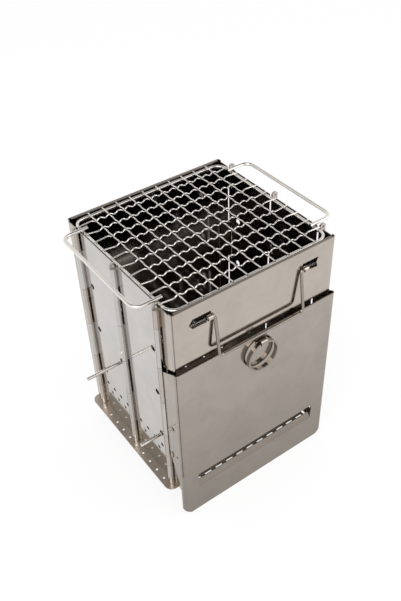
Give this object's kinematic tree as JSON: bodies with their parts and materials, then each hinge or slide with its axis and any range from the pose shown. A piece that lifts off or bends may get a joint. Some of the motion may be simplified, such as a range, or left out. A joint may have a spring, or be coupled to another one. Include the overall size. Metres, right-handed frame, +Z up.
{
  "type": "folding camping grill",
  "caption": "Upright sheet-steel box grill on a perforated fire bed, with hinged sides, a lift-off front cover with air slot, a carry bail and a woven wire grate with side handles.",
  "frame": {"origin": "on the floor, under the middle of the bounds of the whole object; the box itself is centred 10.2 mm to the right and 6.5 mm to the rear of it", "axes": "+Z up, -Y towards the front cover, +X to the right seen from the front"},
  "size_m": [0.2676, 0.21, 0.3027],
  "materials": {
    "steel_sheet": "polished",
    "steel_wire": "bright wire",
    "steel_pin": "bright"
  },
  "bodies": {
    "shell": {"front_panel": "steel_sheet", "back_panel": "steel_sheet", "wall_left_front": "steel_sheet", "wall_left_rear": "steel_sheet", "wall_right_front": "steel_sheet", "wall_right_rear": "steel_sheet", "base_plate": "steel_sheet"},
    "door": {"door": "steel_sheet", "ring_bracket": "steel_sheet"},
    "door_ring": {"door_ring": "steel_wire"},
    "carry_bail": {"carry_bail": "steel_wire"},
    "grate": {"grate_frame": "steel_wire", "mesh_wires_across": "steel_wire", "mesh_wires_along": "steel_wire", "grate_handle_left": "steel_wire", "grate_handle_right": "steel_wire"},
    "upper_rod": {"support_rod_upper": "steel_wire"},
    "lower_rod": {"support_rod_lower": "steel_wire"},
    "pin_left_front": {"pin_left_front": "steel_pin"},
    "pin_left_middle": {"pin_left_middle": "steel_pin"},
    "pin_left_rear": {"pin_left_rear": "steel_pin"},
    "pin_right_front": {"pin_right_front": "steel_pin"},
    "pin_right_middle": {"pin_right_middle": "steel_pin"},
    "pin_right_rear": {"pin_right_rear": "steel_pin"}
  },
  "joints": [
    {"name": "door_pull", "type": "slide", "parent": "shell", "child": "door", "axis": [0, -1, 0], "range_m": [0, 0.15]},
    {"name": "ring_swing", "type": "hinge", "parent": "door", "child": "door_ring", "pos_m": [0.0102, -0.1015, 0.219], "axis": [-1, 0, 0], "range_deg": [0, 95]},
    {"name": "bail_swing", "type": "hinge", "parent": "shell", "child": "carry_bail", "pos_m": [0.0102, -0.09378, 0.279], "axis": [-1, 0, 0], "range_deg": [0, 170]},
    {"name": "grate_lift", "type": "slide", "parent": "shell", "child": "grate", "axis": [0, 0, 1], "range_m": [0, 0.1]},
    {"name": "upper_rod_pull", "type": "slide", "parent": "shell", "child": "upper_rod", "axis": [-1, 0, 0], "range_m": [0, 0.26]},
    {"name": "lower_rod_pull", "type": "slide", "parent": "shell", "child": "lower_rod", "axis": [-1, 0, 0], "range_m": [0, 0.26]},
    {"name": "pin_left_front_lift", "type": "slide", "parent": "shell", "child": "pin_left_front", "axis": [0, 0, 1], "range_m": [0, 0.275]},
    {"name": "pin_left_middle_lift", "type": "slide", "parent": "shell", "child": "pin_left_middle", "axis": [0, 0, 1], "range_m": [0, 0.275]},
    {"name": "pin_left_rear_lift", "type": "slide", "parent": "shell", "child": "pin_left_rear", "axis": [0, 0, 1], "range_m": [0, 0.275]},
    {"name": "pin_right_front_lift", "type": "slide", "parent": "shell", "child": "pin_right_front", "axis": [0, 0, 1], "range_m": [0, 0.275]},
    {"name": "pin_right_middle_lift", "type": "slide", "parent": "shell", "child": "pin_right_middle", "axis": [0, 0, 1], "range_m": [0, 0.275]},
    {"name": "pin_right_rear_lift", "type": "slide", "parent": "shell", "child": "pin_right_rear", "axis": [0, 0, 1], "range_m": [0, 0.275]}
  ]
}
